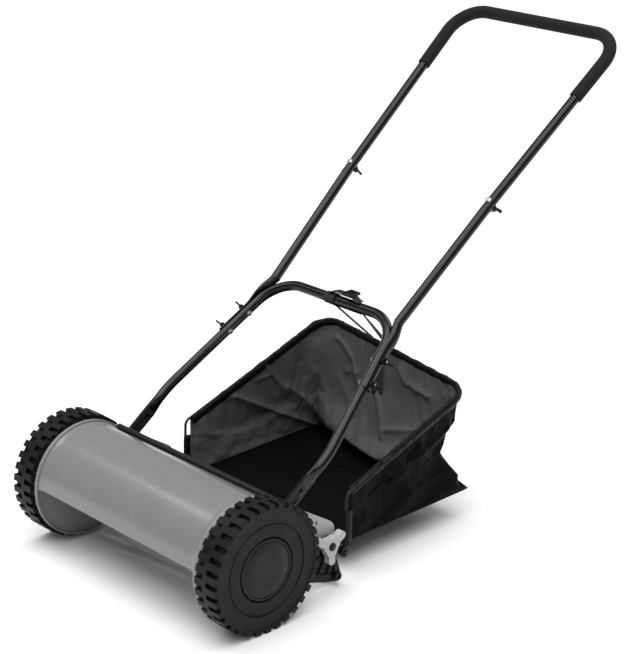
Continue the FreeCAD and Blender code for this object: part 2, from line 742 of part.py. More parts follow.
def cut_arc_slot(body):
    """Cut the curved slot that lets the bracket swing round its pivot past the clamp stud."""
    pivot = Vector(0, float(size["height_pivot_back"]), float(size["height_pivot_up"]))
    stud = Vector(0, float(size["knob_back"]), float(size["knob_up"]))
    reach = (stud - pivot).Length
    start = math.degrees(math.atan2(stud.z - pivot.z, stud.y - pivot.y))
    swing = float(size["height_travel"]) + 0.8
    radius = 4.3
    begin = float(BRACKET_INNER) - 1
    ring = Part.makeCylinder(reach + radius, 6, pivot + Vector(begin, 0, 0), X_AXIS)
    ring = ring.cut(Part.makeCylinder(reach - radius, 6, pivot + Vector(begin, 0, 0), X_AXIS))
    wedge_corners = [pivot]
    for turn in (start + 0.4, start - swing / 2, start - swing):
        far = Vector(0, math.cos(math.radians(turn)), math.sin(math.radians(turn)))
        wedge_corners.append(pivot + far * 200)
    wedge = Part.Face(Part.makePolygon(wedge_corners + wedge_corners[:1]))
    wedge = wedge.extrude(Vector(6, 0, 0))
    wedge.translate(Vector(begin, 0, 0))
    slot = ring.common(wedge)
    for turn in (start + 0.4, start - swing):
        end = Vector(begin, math.cos(math.radians(turn)) * reach,
                     math.sin(math.radians(turn)) * reach)
        slot = slot.fuse(Part.makeCylinder(radius, 6, pivot + end, X_AXIS))
    cutter = doc.addObject("Part::Feature", "slot_cutter")
    cutter.Shape = slot
    settle(cutter)
    body.Label = "height_bracket_solid"
    result = doc.addObject("Part::Cut", "height_bracket_right")
    result.Label = "height_bracket_right"
    result.Base = body
    result.Tool = cutter
    return result


def make_clamp_fittings():
    """Pivot pins and clamp studs on the side plates, and the star knobs on the studs."""
    outer = float(PLATE_OUTER)
    pins = []
    studs = []
    for side in (-1, 1):
        out = Vector(side, 0, 0)
        pivot = Vector(side * (outer + 0.02), float(size["height_pivot_back"]),
                       float(size["height_pivot_up"]))
        pin = [(0, 0), (0, 4), (7.3, 4), (7.3, 6.5), (8.6, 6.5), (9.3, 5.6), (9.3, 0)]
        pins.append(turned_shape(pin, pivot, out))
        spot = Vector(side * float(PLATE_INNER - 2.5), float(size["knob_back"]),
                      float(size["knob_up"]))
        profile = [(0, 0), (0, 7), (2.48, 7), (2.48, 4), (20.4, 4), (21, 3.4), (21, 0)]
        studs.append(turned_shape(profile, spot, out))
    shape_node("bracket_pins", Part.makeCompound(pins))
    shape_node("clamp_studs", Part.makeCompound(studs))

    base = float(BRACKET_INNER) + BRACKET_THICKNESS + 0.6
    knob = star_knob(base)
    both_sides_shape("star_knob_right", knob)
    cap = turned_shape([(0, 0), (0, 7.5), (1.6, 7.2), (2.6, 5.6), (3.0, 3), (3.1, 0)],
                       Vector(base + 13.02, float(size["knob_back"]), float(size["knob_up"])),
                       X_AXIS)
    both_sides_shape("knob_cap_right", cap)


def star_knob(base):
    """Three-lobed hand knob with concave sides and a blind threaded bore."""
    lobe_reach = 28.0
    lobe = 7.0
    solid = Part.makeCylinder(18.5, 13, Vector(base, 0, 0), X_AXIS)
    for number in range(3):
        turn = math.radians(120 * number + 30)
        along = Vector(0, math.cos(turn), math.sin(turn))
        arm = Part.makeBox(13, lobe_reach, lobe * 2, Vector(base, 0, -lobe))
        arm.rotate(Vector(0, 0, 0), X_AXIS, math.degrees(turn))
        tip = Part.makeCylinder(lobe, 13, Vector(base, 0, 0) + along * lobe_reach, X_AXIS)
        solid = solid.fuse([arm, tip])
    for number in range(3):
        turn = math.radians(120 * number + 90)
        bite = Vector(base - 1, math.cos(turn) * 37, math.sin(turn) * 37)
        solid = solid.cut(Part.makeCylinder(22, 15, bite, X_AXIS))
    solid = solid.removeSplitter()
    solid = solid.fuse(Part.makeCylinder(7.5, 5, Vector(base - 3.3, 0, 0), X_AXIS))
    bore = Part.makeCylinder(4.06, 14, Vector(base - 4, 0, 0), X_AXIS)
    solid = solid.cut(bore)
    solid.translate(Vector(0, float(size["knob_back"]), float(size["knob_up"])))
    return solid


# ---------------------------------------------------------------- handle
FOOT_BEND = Vector(216.3, 195.0, 242.4)
CROSSBAR_CORNER = Vector(156.0, 417.3, 413.6)
FOOT_SLOPE = 36.67
STRIP_INNER = 210.4
MIDDLE_START = Vector(164.0, 412.0, 414.7)
SADDLE_BACK = (303.0, 358.0)
LEG_BOLT_BACK = (312.0, 350.0)
SADDLE_GAP = 0.12
RING_CORNERS = 24


def joint_point():
    return Vector(float(size["handle_joint_side"]), float(size["handle_joint_back"]),
                  float(size["handle_joint_up"]))


def upper_point(run):
    """The middle of an upper handle leg at a run above the seam."""
    slope = math.radians(float(size["upper_slope"]))
    step = Vector(float(size["upper_flare"]), math.cos(slope), math.sin(slope))
    return joint_point() + step * run


def foot_point(back):
    """The middle of a lower handle leg near its foot, by distance behind the axle."""
    drop = (FOOT_BEND.y - back) * math.tan(math.radians(FOOT_SLOPE))
    return Vector(FOOT_BEND.x, back, FOOT_BEND.z - drop)


def leg_point(back):
    """The middle of the lower handle's straight right leg, by distance behind the axle."""
    span = CROSSBAR_CORNER - FOOT_BEND
    return FOOT_BEND + span * ((back - FOOT_BEND.y) / span.y)


def leg_axes():
    """Unit vectors along the right leg, out from it in the handle's plane, and up from it."""
    along = (CROSSBAR_CORNER - FOOT_BEND).normalize()
    outward = (X_AXIS - along * along.x).normalize()
    return along, outward, along.cross(outward)


def handle_normal():
    """Square to the upper handle's plane, forward and up."""
    slope = math.radians(float(size["upper_slope"]))
    return Vector(0, -math.sin(slope), math.cos(slope))


def lower_handle_path(foot_back):
    corners = across([foot_point(foot_back), FOOT_BEND, CROSSBAR_CORNER])
    return rounded_path(corners, [150, 76, 76, 150])


def make_lower_handle():
    """One bent tube: crossbar, two legs, and flattened feet drilled for their bolts."""
    radius = float(size["tube_radius"])
    path = lower_handle_path(176)
    tube = rod_along(path, radius).cut(rod_along(path, radius - float(size["tube_wall"])))
    foot = flattened_foot(176, 146)
    solid = tube.fuse([foot, foot.mirror(Vector(0, 0, 0), X_AXIS)])
    holes = []
    outward = leg_axes()[1]
    for back in LEG_BOLT_BACK:
        holes.append(Part.makeCylinder(3.05, 60, leg_point(back) - outward * 30, outward))
    for y, z in HANDLE_BOLTS:
        holes.append(Part.makeCylinder(3.55, 20, Vector(STRIP_INNER - 5, y, z), X_AXIS))
    holes.append(Part.makeCylinder(2.2, 30, foot_point(132) - X_AXIS * 12, X_AXIS))
    for hole in holes:
        solid = solid.cut([hole, hole.mirror(Vector(0, 0, 0), X_AXIS)])
    shape_node("lower_handle", solid)


def flattened_foot(round_back, flat_back):
    """The right foot: a neck from the round tube to a flat strip with a rounded toe."""
    round_spot = foot_point(round_back)
    along = (foot_point(62) - round_spot).normalize()
    round_end = Part.Wire(Part.makeCircle(float(size["tube_radius"]), round_spot, along))
    start = foot_point(flat_back)
    side = Vector(0, -along.z, along.y)
    half = 11.5
    corners = []
    for depth, reach in ((0, -half), (7, -half), (7, half), (0, half)):
        corner = start + side * reach
        corner.x = STRIP_INNER + depth
        corners.append(corner)
    flat_end = Part.makePolygon(corners + corners[:1])
    neck = Part.makeLoft([round_end, flat_end], True, False)
    finish = foot_point(HANDLE_BOLTS[1][0])
    strip_length = (finish - start).Length
    strip = Part.makeBox(7, strip_length, half * 2, Vector(0, 0, -half))
    strip.rotate(Vector(0, 0, 0), X_AXIS, math.degrees(math.atan2(along.z, along.y)))
    strip.translate(Vector(STRIP_INNER, start.y, start.z))
    toe = Part.makeCylinder(half, 7, Vector(STRIP_INNER, finish.y, finish.z), X_AXIS)
    return neck.fuse([strip, toe])


def bent_oval(center, outward, side, middle, half, reach):
    """Corners of a flat oval that is bent to a radius about a center."""
    corners = []
    for i in range(RING_CORNERS):
        turn = 2 * math.pi * i / RING_CORNERS
        angle = reach / middle * math.cos(turn)
        radius = middle + half * math.sin(turn)
        corners.append(center + outward * (radius * math.cos(angle))
                       + side * (radius * math.sin(angle)))
    return corners


def skinned(rings):
    """A solid of small flat faces between rings of corners, closed at both ends."""
    outlines = [rings[0], rings[-1]]
    for ring, after in zip(rings, rings[1:]):
        for i in range(RING_CORNERS):
            j = (i + 1) % RING_CORNERS
            outlines.append([ring[i], ring[j], after[j]])
            outlines.append([ring[i], after[j], after[i]])
    faces = [Part.Face(Part.makePolygon(outline + outline[:1])) for outline in outlines]
    solid = Part.Solid(Part.Shell(faces))
    if solid.Volume < 0:
        solid.reverse()
    return solid


def pressed_leg(shrink):
    """Right middle leg as a rod: pressed into a saddle below, round from there up."""
    radius = float(size["tube_radius"])
    along, outward, side = leg_axes()
    pressed = float(size["tube_wall"]) + 0.45
    reach = 13.6
    middle = radius + SADDLE_GAP + pressed
    rings = []
    for back in (SADDLE_BACK[0] - shrink, SADDLE_BACK[1]):
        rings.append(bent_oval(leg_point(back), outward, side, middle, pressed - shrink,
                               reach - shrink))
    begin = leg_point(SADDLE_BACK[1]) + outward * middle
    leg_run = (joint_point() - MIDDLE_START).normalize()
    lower_path = lower_handle_path(176)
    for step in range(1, 8):
        share = step / 8
        ease = share * share * (3 - 2 * share)
        room = pressed + (radius - pressed) * ease
        spot = begin + (MIDDLE_START - begin) * share
        nearest = lower_path.distToShape(Part.Vertex(spot))[1][0][0]
        away = (spot - nearest).normalize()
        clear = SADDLE_GAP + 1.2 * math.sin(math.pi * share)
        spread = max(radius + clear + room, (spot - nearest).Length)
        ahead = (along * (1 - ease) + leg_run * ease).normalize()
        width = radius + (reach - radius) * (1 - ease)
        rings.append(bent_oval(nearest, away, ahead.cross(away).normalize(), spread,
                               room - shrink, width - shrink))
    last_side = leg_run.cross(outward).normalize()
    last_out = last_side.cross(leg_run)
    far = 2000.0
    collar = radius - shrink + 0.15
    for run in (0, 3):
        rings.append(bent_oval(MIDDLE_START + leg_run * run - last_out * far, last_out,
                               last_side, far, collar, collar))
    length = (joint_point() - MIDDLE_START).Length - 2
    tube = Part.makeCylinder(radius - shrink, length - 1 + shrink * 0.5,
                             MIDDLE_START + leg_run, leg_run)
    return skinned(rings).fuse(tube)


def make_middle_handle():
    """Leg between the lower and upper handles: pressed end below, swaged spigot on top."""
    radius = float(size["tube_radius"])
    wall = float(size["tube_wall"])
    joint = joint_point()
    solid = pressed_leg(0.0).cut(pressed_leg(wall))
    solid = solid.cut(rod_along(lower_handle_path(176), radius + SADDLE_GAP - 0.02))
    up = (upper_point(100) - joint).normalize()
    spigot = Part.makeCylinder(radius - wall - 0.05, 36, joint - up * 3, up)
    collar = Part.makeCylinder(radius + 0.2, 5, joint - up * 5, up)
    solid = solid.fuse(spigot.fuse(collar))
    outward = leg_axes()[1]
    for back in LEG_BOLT_BACK:
        solid = solid.cut(Part.makeCylinder(3.05, 30, leg_point(back), outward))
    normal = handle_normal()
    solid = solid.cut(Part.makeCylinder(3.05, 40, upper_point(17) - normal * 20, normal))
    both_sides_shape("middle_handle_right", solid)


def make_leg_bolts():
    """Bolts through the lower legs and the pressed ends, headed on the inner side."""
    outward = leg_axes()[1]
    radius = float(size["tube_radius"])
    saddle = radius + SADDLE_GAP + 2 * float(size["tube_wall"]) + 0.9
    bolts = []
    for number, back in enumerate(LEG_BOLT_BACK, start=1):
        spot = leg_point(back)
        bolt = turned_shape(screw_profile(3.0, 30.5, 5.2, 3.6),
                            spot - outward * (radius + 0.05), outward * -1)
        bolts += [bolt, bolt.mirror(Vector(0, 0, 0), X_AXIS)]
        nut = wing_nut(spot + outward * (saddle + 0.15), outward, -20 - 9 * number)
        both_sides_shape(f"leg_nut_{number}_right", nut)
    shape_node("leg_bolts", Part.makeCompound(bolts))


def wing_nut(spot, direction, turn):
    """Wing nut on an M6 thread, standing on a spot along a direction."""
    hub = turned_shape([(0, 3.06), (0, 6.6), (7, 5.2), (9, 5.2), (9, 3.06)],
                       Vector(0, 0, 0), Z_AXIS)
    wings = []
    for side in (-1, 1):
        outline = [Vector(0, side * 4.6, 1.5), Vector(0, side * 12.5, 7),
                   Vector(0, side * 14.5, 13), Vector(0, side * 11.5, 16.5),
                   Vector(0, side * 7.8, 13.5), Vector(0, side * 4.6, 8.6)]
        face = Part.Face(Part.makePolygon(outline + outline[:1]))
        wing = face.extrude(Vector(3.4, 0, 0))
        wing.translate(Vector(-1.7, 0, 0))
        wings.append(wing)
    nut = hub.fuse(wings)
    nut = nut.cut(Part.makeCylinder(3.06, 12, Vector(0, 0, -1)))
    nut.rotate(Vector(0, 0, 0), Z_AXIS, turn)
    nut.Placement = Placement(spot, Rotation(Z_AXIS, direction)).multiply(nut.Placement)
    return nut


def make_upper_handle():
    """U-shaped grip tube with its foam sleeve, joint bolts and wing nuts."""
    radius = float(size["tube_radius"])
    length = float(size["upper_length"])
    corners = [upper_point(0.3), upper_point(length)]
    path = rounded_path(across(corners), [60, 60])
    tube = rod_along(path, radius).cut(rod_along(path, radius - float(size["tube_wall"])))
    normal = handle_normal()
    for side in (-1, 1):
        spot = upper_point(17)
        spot.x *= side
        tube = tube.cut(Part.makeCylinder(3.05, 40, spot - normal * 20, normal))
    shape_node("upper_handle", tube)

    grip_corners = [upper_point(float(size["grip_start"])), upper_point(length)]
    grip_path = rounded_path(across(grip_corners), [60, 60])
    foam = rod_along(grip_path, size["grip_radius"])
    foam = foam.cut(rod_along(grip_path, radius + 0.05))
    shape_node("foam_grip", foam)

    bolts = []
    for side in (-1, 1):
        spot = upper_point(17)
        spot.x *= side
        bolts.append(turned_shape(screw_profile(3.0, 28, 5.5, 3.4),
                                  spot + normal * (radius + 0.05), normal))
    shape_node("joint_bolts", Part.makeCompound(bolts))
    place = upper_point(17) - normal * (radius + 0.15)
    both_sides_shape("joint_nut_right", wing_nut(place, normal * -1, 80))


def make_foot_bolts():
    """Bolts and spacers that hold the flattened feet clear of the side plates."""
    bolts = []
    spacers = []
    strip_outer = STRIP_INNER + 7
    gap = float(PLATE_INNER) - strip_outer
    for side in (-1, 1):
        out = Vector(side, 0, 0)
        for y, z in HANDLE_BOLTS:
            head = Vector(side * (STRIP_INNER - 0.02), y, z)
            length = float(PLATE_OUTER) - STRIP_INNER
            bolts.append(turned_shape(screw_profile(3.5, length, 6.5, 4.5), head, out * -1))
            ring = [(0.02, 3.55), (0.02, 7), (gap - 0.02, 7), (gap - 0.02, 3.55)]
            spacers.append(turned_shape(ring, Vector(side * strip_outer, y, z), out))
    shape_node("foot_bolts", Part.makeCompound(bolts))
    shape_node("foot_spacers", Part.makeCompound(spacers))


# ---------------------------------------------------------------- grass bag
RIM_FRONT = Vector(216.0, 234.0, 158.0)
RIM_REAR_RIGHT = Vector(193.0, 560.0, 257.0)
RIM_REAR_LEFT = Vector(-193.0, 570.0, 297.0)
HANGER_INNER = 212.6
HANGER_THICKNESS = 3.0


def make_bag_hanger():
    """Arm on the side plate whose peg carries the bag frame's lower eye."""
    body = new_body("bag_hanger")
    peg = (size["bag_pivot_back"], size["bag_pivot_up"])
    arm = new_sketch(body, "hanger_arm", "YZ_Plane", HANGER_INNER)
    draw_belt(arm, [(*peg, 7.0), (178.0, 106.0, 9.0)])
    pad(body, arm, HANGER_THICKNESS, "hanger_arm_pad")
    boss = new_sketch(body, "hanger_boss", "YZ_Plane", HANGER_INNER)
    draw_circle(boss, 178.0, 106.0, 7.0)
    pad(body, boss, PLATE_INNER - HANGER_INNER - 0.02, "hanger_boss_pad")
    pin = new_sketch(body, "hanger_peg", "YZ_Plane", HANGER_INNER)
    draw_circle(pin, *peg, 3.6)
    pad(body, pin, HANGER_THICKNESS + 8.5, "hanger_peg_pad")
    twins("bag_hangers", body)


def make_bag_frame():
    """Bent wire: two uprights with eyes on the pegs and a rim that hangs a little askew."""
    eye_x = HANGER_INNER + HANGER_THICKNESS + 4.3
    wire = float(size["bag_wire_radius"])
    peg = Vector(eye_x, float(size["bag_pivot_back"]), float(size["bag_pivot_up"]))
    eye_ring = 3.6 + wire + 0.4
    foot = peg + Vector(0, 0, eye_ring)
    front = Vector(eye_x, RIM_FRONT.y, RIM_FRONT.z)
    corners = [foot, front, RIM_REAR_RIGHT, RIM_REAR_LEFT,
               Vector(-front.x, front.y, front.z), Vector(-foot.x, foot.y, foot.z)]
    frame = rod_along(rounded_path(corners, [14, 42, 42, 14]), wire)
    for side in (-1, 1):
        center = Vector(side * peg.x, peg.y, peg.z)
        frame = frame.fuse(Part.makeTorus(eye_ring, wire, center, X_AXIS))
    shape_node("bag_frame", frame)


def make_bag():
    """Fabric bag as a thick tray, open at the top and at the front."""
    wall = float(size["bag_wall"])
    floor = [Vector(203, 246, 58), Vector(199, 567, 60), Vector(-199, 556, 68),
             Vector(-203, 246, 58)]
    top = [Vector(207, 243, 148), Vector(185, 549, 244), Vector(-185, 559, 284),
           Vector(-207, 243, 148)]
    hollow_floor = []
    hollow_top = []
    for low, high in zip(floor, top):
        inset = Vector(-wall if low.x > 0 else wall, -wall, 0)
        if low.y < 300:
            inset.y = -40
        hollow_floor.append(low + inset + Vector(0, 0, wall))
        hollow_top.append(high + inset + (high - low) * (30 / (high.z - low.z)))
    shape_node("grass_bag", tray(floor, top).cut(tray(hollow_floor, hollow_top)))


def tray(lower, upper):
    """A solid between two four-cornered outlines."""
    faces = []
    trios = [(lower[0], lower[1], lower[2]), (lower[0], lower[2], lower[3]),
             (upper[0], upper[1], upper[2]), (upper[0], upper[2], upper[3])]
    for i in range(4):
        after = (i + 1) % 4
        trios.append((lower[i], lower[after], upper[after]))
        trios.append((lower[i], upper[after], upper[i]))
    for trio in trios:
        faces.append(Part.Face(Part.makePolygon(list(trio) + [trio[0]])))
    return Part.Solid(Part.Shell(faces))


def make_strap():
    """Webbing strap from the crossbar down to the bag rim, and its buckle."""
    bar = Vector(0, CROSSBAR_CORNER.y, CROSSBAR_CORNER.z)
    radius = float(size["tube_radius"])
    ring = Part.makeCylinder(radius + 1.9, 26, bar + Vector(-25, 0, 0), X_AXIS)
    ring = ring.cut(Part.makeCylinder(radius + 0.3, 30, bar + Vector(-27, 0, 0), X_AXIS))
    rim_run = (RIM_REAR_RIGHT - RIM_REAR_LEFT).normalize()
    rim_middle = (RIM_REAR_RIGHT + RIM_REAR_LEFT) * 0.5
    lift = Vector(0, 0, float(size["bag_wire_radius"]) + 1)
    legs = []
    for start, finish in ((-10, -52), (65, -12)):
        begin = bar + Vector(start, 2, -radius - 1.1)
        run = rim_middle + rim_run * finish + lift - begin
        leg = Part.makeBox(9, 1.4, run.Length, Vector(-4.5, -0.7, 0))
        leg.Placement = Placement(begin, Rotation(Z_AXIS, run))
        legs.append(leg)
    tie = Part.makeBox(80, 9, 1.4, bar + Vector(-12, -2.5, -radius - 2.2))
    hem = Part.makeBox(3, 16, 8, bar + Vector(-2, -8, radius + 0.4))
    tail = Part.makeBox(47.4, 16, 1.4, bar + Vector(-2, -8, radius + 7))
    drop = Part.makeBox(1.4, 16, 7.8, bar + Vector(44, -8, radius + 0.6))
    end = Part.makeBox(17, 16, 1.4, bar + Vector(44, -8, radius + 0.6))
    shape_node("bag_strap", ring.fuse(legs + [tie, hem, tail, drop, end]))
    buckle = Part.makeBox(24, 26, 5, bar + Vector(24, -13, radius + 8.8))
    hole = Part.makeBox(7, 18, 9, bar + Vector(27.5, -9, radius + 6))
    far_hole = Part.makeBox(7, 18, 9, bar + Vector(37.5, -9, radius + 6))
    shape_node("strap_buckle", buckle.cut(hole.fuse(far_hole)))


make_wheel()
make_tread()
make_hub_cap()
make_gears()
make_reel()
make_side_plate()
make_cowl()
make_rear_bar()
make_bed()
make_axle_and_bearing()
make_height_brackets()
make_clamp_fittings()
make_lower_handle()
make_middle_handle()
make_leg_bolts()
make_upper_handle()
make_foot_bolts()
make_bag_hanger()
make_bag_frame()
make_bag()
make_strap()
doc.recompute()

for thing in doc.Objects:
    if "Invalid" in thing.State or "Error" in thing.State:
        raise RuntimeError(f"{thing.Label} failed: {thing.State}")
for thing in NODES:
    if thing.Shape.isNull() or not thing.Shape.isValid():
        raise RuntimeError(f"{thing.Label} has no valid shape")
for thing in NODES:
    thing.Shape.exportStep(os.path.join("parts", f"{thing.Label}.step"))
box = FreeCAD.BoundBox()
for thing in NODES:
    box.add(thing.Shape.BoundBox)
print(f"{len(NODES)} sub-parts")
print(f"x {box.XMin:.2f} to {box.XMax:.2f}, y {box.YMin:.2f} to {box.YMax:.2f}, "
      f"z {box.ZMin:.2f} to {box.ZMax:.2f}")
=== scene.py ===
import math

import bpy
from mathutils import Matrix, Vector, geometry, noise


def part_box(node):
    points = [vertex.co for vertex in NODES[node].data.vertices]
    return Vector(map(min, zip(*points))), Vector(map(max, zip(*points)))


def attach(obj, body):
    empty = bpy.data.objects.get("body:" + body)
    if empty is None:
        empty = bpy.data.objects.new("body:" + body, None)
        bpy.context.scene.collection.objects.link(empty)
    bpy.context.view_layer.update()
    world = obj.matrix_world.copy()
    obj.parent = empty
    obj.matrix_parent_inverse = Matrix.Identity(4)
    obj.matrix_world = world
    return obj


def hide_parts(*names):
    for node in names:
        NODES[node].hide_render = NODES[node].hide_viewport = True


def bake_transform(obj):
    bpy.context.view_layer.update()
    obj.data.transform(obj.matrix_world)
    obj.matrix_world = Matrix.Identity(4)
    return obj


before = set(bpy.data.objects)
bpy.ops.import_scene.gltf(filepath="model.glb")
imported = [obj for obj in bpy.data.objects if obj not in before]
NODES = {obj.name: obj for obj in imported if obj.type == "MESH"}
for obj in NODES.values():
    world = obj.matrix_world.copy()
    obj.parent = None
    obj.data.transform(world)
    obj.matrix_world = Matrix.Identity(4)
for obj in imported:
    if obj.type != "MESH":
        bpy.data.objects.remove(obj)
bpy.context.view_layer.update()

# Hand-pushed cylinder mower with a fabric grass bag. Lengths below are in millimetres from the
# point on the ground under the wheel axle, +Y towards the handle; at() turns them into the
# frame's metres.

cap_low, cap_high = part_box("hub_cap_right")
AXLE_Y = (cap_low.y + cap_high.y) / 2
MM = 0.001


def at(x, y, z):
    return Vector((x * MM, AXLE_Y + y * MM, z * MM))


# ---------------------------------------------------------------- materials
class Shade:
    """Writes the node graph of one material."""

    def __init__(self, name, roughness=0.5, metallic=0.0, coat=0.0, specular=0.5):
        self.material = bpy.data.materials.new(name)
        self.material.use_nodes = True
        self.tree = self.material.node_tree
        self.shader = self.tree.nodes["Principled BSDF"]
        self.shader.inputs["Roughness"].default_value = roughness
        self.shader.inputs["Metallic"].default_value = metallic
        self.shader.inputs["Coat Weight"].default_value = coat
        self.shader.inputs["Coat Roughness"].default_value = 0.12
        self.shader.inputs["Specular IOR Level"].default_value = specular
        self.place = self.tree.nodes.new("ShaderNodeTexCoord")

    def node(self, kind, **inputs):
        made = self.tree.nodes.new(kind)
        for name, value in inputs.items():
            socket = made.inputs[name.replace("_", " ")]
            if isinstance(value, bpy.types.NodeSocket):
                self.tree.links.new(value, socket)
            else:
                socket.default_value = value
        return made

    def spot(self, stretch=(1, 1, 1), source="Object"):
        """Surface coordinates, stretched along each axis."""
        made = self.node("ShaderNodeMapping", Vector=self.place.outputs[source],
                         Scale=stretch)
        return made.outputs["Vector"]

    def noise(self, scale, detail=3.0, stretch=(1, 1, 1), source="Object"):
        made = self.node("ShaderNodeTexNoise", Vector=self.spot(stretch, source),
                         Scale=scale, Detail=detail)
        return made.outputs["Fac"]

    def wave(self, scale, direction, source="Object", distortion=0.0):
        made = self.node("ShaderNodeTexWave", Vector=self.spot(source=source), Scale=scale,
                         Distortion=distortion)
        made.bands_direction = direction
        return made.outputs["Fac"]

    def spread(self, value, low, high, start=0.3, end=0.7):
        made = self.node("ShaderNodeMapRange", Value=value, From_Min=start, From_Max=end,
                         To_Min=low, To_Max=high)
        return made.outputs["Result"]

    def product(self, first, second, operation="MULTIPLY"):
        made = self.tree.nodes.new("ShaderNodeMath")
        made.operation = operation
        for socket, value in zip(made.inputs, (first, second)):
            if isinstance(value, bpy.types.NodeSocket):
                self.tree.links.new(value, socket)
            else:
                socket.default_value = value
        return made.outputs[0]

    def grey(self, amount, dark, light):
        """Colour between two greys, each a number or an (r, g, b)."""
        made = self.tree.nodes.new("ShaderNodeMix")
        made.data_type = "RGBA"
        self.tree.links.new(amount, made.inputs["Factor"])
        for socket, tone in ((made.inputs[6], dark), (made.inputs[7], light)):
            rgb = tone if isinstance(tone, tuple) else (tone, tone, tone)
            socket.default_value = (*rgb, 1)
        self.tree.links.new(made.outputs[2], self.shader.inputs["Base Color"])

    def rough(self, value):
        self.tree.links.new(value, self.shader.inputs["Roughness"])

    def bump(self, height, distance, strength=1.0):
        """Lay one more layer of relief over what the surface has."""
        made = self.node("ShaderNodeBump", Height=height, Distance=distance, Strength=strength)
        socket = self.shader.inputs["Normal"]
        if socket.is_linked:
            self.tree.links.new(socket.links[0].from_socket, made.inputs["Normal"])
        self.tree.links.new(made.outputs["Normal"], socket)


def paint(name, dark, light, roughness, coat, specular=0.5):
    """Stove enamel: faint orange peel, a little unevenness in gloss and tone."""
    shade = Shade(name, roughness, coat=coat, specular=specular)
    shade.grey(shade.noise(9, 4), dark, light)
    shade.rough(shade.spread(shade.noise(24, 5), roughness * 0.85, roughness * 1.25))
    shade.bump(shade.noise(520, 2), 0.00005, 0.3)
    return shade.material


def moulded(name, dark, light, roughness, grain=1400, depth=0.00012):
    """Injection-moulded plastic with a fine spark-eroded grain."""
    shade = Shade(name, roughness, specular=0.18)
    shade.grey(shade.noise(14, 5), dark, light)
    shade.rough(shade.spread(shade.noise(60, 4), roughness * 0.88, roughness * 1.15))
    shade.bump(shade.noise(grain, 2), depth, 0.5)
    return shade.material


def bare_metal(name, dark, light, roughness, brushed=(1, 1, 1)):
    """Plated or ground metal with streaks along the stretched axis."""
    shade = Shade(name, roughness, metallic=1.0)
    streak = shade.noise(260, 4, brushed)
    shade.grey(streak, dark, light)
    shade.rough(shade.spread(shade.noise(150, 3, brushed), roughness * 0.7, roughness * 1.4))
    shade.bump(streak, 0.00005, 0.4)
    return shade.material


def foam_rubber():
    shade = Shade("foam", 0.82, specular=0.25)
    pores = shade.noise(1300, 3)
    shade.grey(shade.spread(pores, 0, 1), 0.004, 0.012)
    shade.bump(pores, 0.0004, 0.7)
    shade.bump(shade.noise(90, 3), 0.0006, 0.35)
    return shade.material


def nylon(name, dark, light, roughness, crumple, specular=0.03, pitch=0.0011):
    """Plain-woven coated nylon; its threads follow the panel's own coordinates."""
    shade = Shade(name, roughness, specular=specular)
    threads = 1 / (pitch * math.pi)
    across = shade.wave(threads, "X", "UV")
    along = shade.wave(threads, "Y", "UV")
    weave = shade.product(across, along, "MAXIMUM")
    cloud = shade.noise(11, 5)
    shade.grey(shade.product(cloud, shade.spread(weave, 0.75, 1.15, 0, 1)), dark, light)
    shade.rough(shade.spread(shade.noise(40, 4), roughness * 0.8, roughness * 1.2))
    shade.bump(weave, 0.00012, 0.45)
    shade.bump(shade.noise(70, 4), crumple)
    return shade.material


def webbing():
    shade = Shade("webbing", 0.72, specular=0.3)
    ribs = shade.wave(420, "DIAGONAL", "Object", 1.5)
    shade.grey(ribs, 0.008, 0.03)
    shade.bump(ribs, 0.0003, 0.7)
    return shade.material


def two_tone_paint(name, front, rear, seam_y):
    """Enamel whose rear part, beyond a place along the machine, is a lighter grey."""
    shade = Shade(name, 0.45)
    split = shade.node("ShaderNodeSeparateXYZ", Vector=shade.place.outputs["Object"])
    rearward = shade.spread(split.outputs["Y"], 0, 1, seam_y, seam_y + 0.004)
    shade.grey(rearward, front, rear)
    shade.rough(shade.spread(shade.noise(24, 5), 0.4, 0.52))
    shade.bump(shade.noise(520, 2), 0.00005, 0.3)
    return shade.material


COWL_PAINT = paint("cowl_paint", 0.165, 0.19, 0.26, 0.3)
PLATE_PAINT = two_tone_paint("plate_paint", 0.20, 0.34, AXLE_Y + 0.108)
TUBE_BLACK = paint("tube_black", 0.002, 0.004, 0.17, 0.0, 0.35)
STEEL_BLACK = paint("steel_black", 0.005, 0.008, 0.36, 0.0, 0.3)
REEL_PAINT = paint("reel_paint", 0.02, 0.035, 0.42, 0.0)
WHEEL = moulded("wheel_plastic", 0.004, 0.007, 0.46)
TREAD = moulded("tread_plastic", 0.004, 0.007, 0.5, 900, 0.0002)
CAP = moulded("cap_plastic", 0.009, 0.013, 0.42)
BLACK_PLASTIC = moulded("black_plastic", 0.004, 0.008, 0.42)
ROLLER = moulded("roller_plastic", 0.012, 0.02, 0.4)
KNOB = moulded("knob_plastic", 0.38, 0.44, 0.45)
GEAR = moulded("gear_plastic", 0.012, 0.018, 0.5)
ZINC = bare_metal("zinc", 0.34, 0.48, 0.32)
BLADE = bare_metal("blade_steel", 0.28, 0.44, 0.34, (0.15, 6, 6))
BRONZE = bare_metal("bronze", (0.40, 0.27, 0.12), (0.52, 0.36, 0.17), 0.42)
FOAM = foam_rubber()
# Inner faces of the bag walls: a lighter grey than the outer faces of the same fabric, painted
# light for the light falling into the open bag.
BAG_INSIDE_PAINTED_LIGHT = nylon("bag_inside_painted_light", 0.062, 0.094, 0.55, 0.0008, 0.12)
# Outer faces of the walls and the bag's floor: near-black, painted shade for the shade they lie
# in.
BAG_OUTSIDE_PAINTED_SHADE = nylon("bag_outside_painted_shade", 0.002, 0.005, 0.45, 0.0010)
BINDING = nylon("bag_binding", 0.002, 0.005, 0.42, 0.0030, 0.14, 0.0016)
WEBBING = webbing()

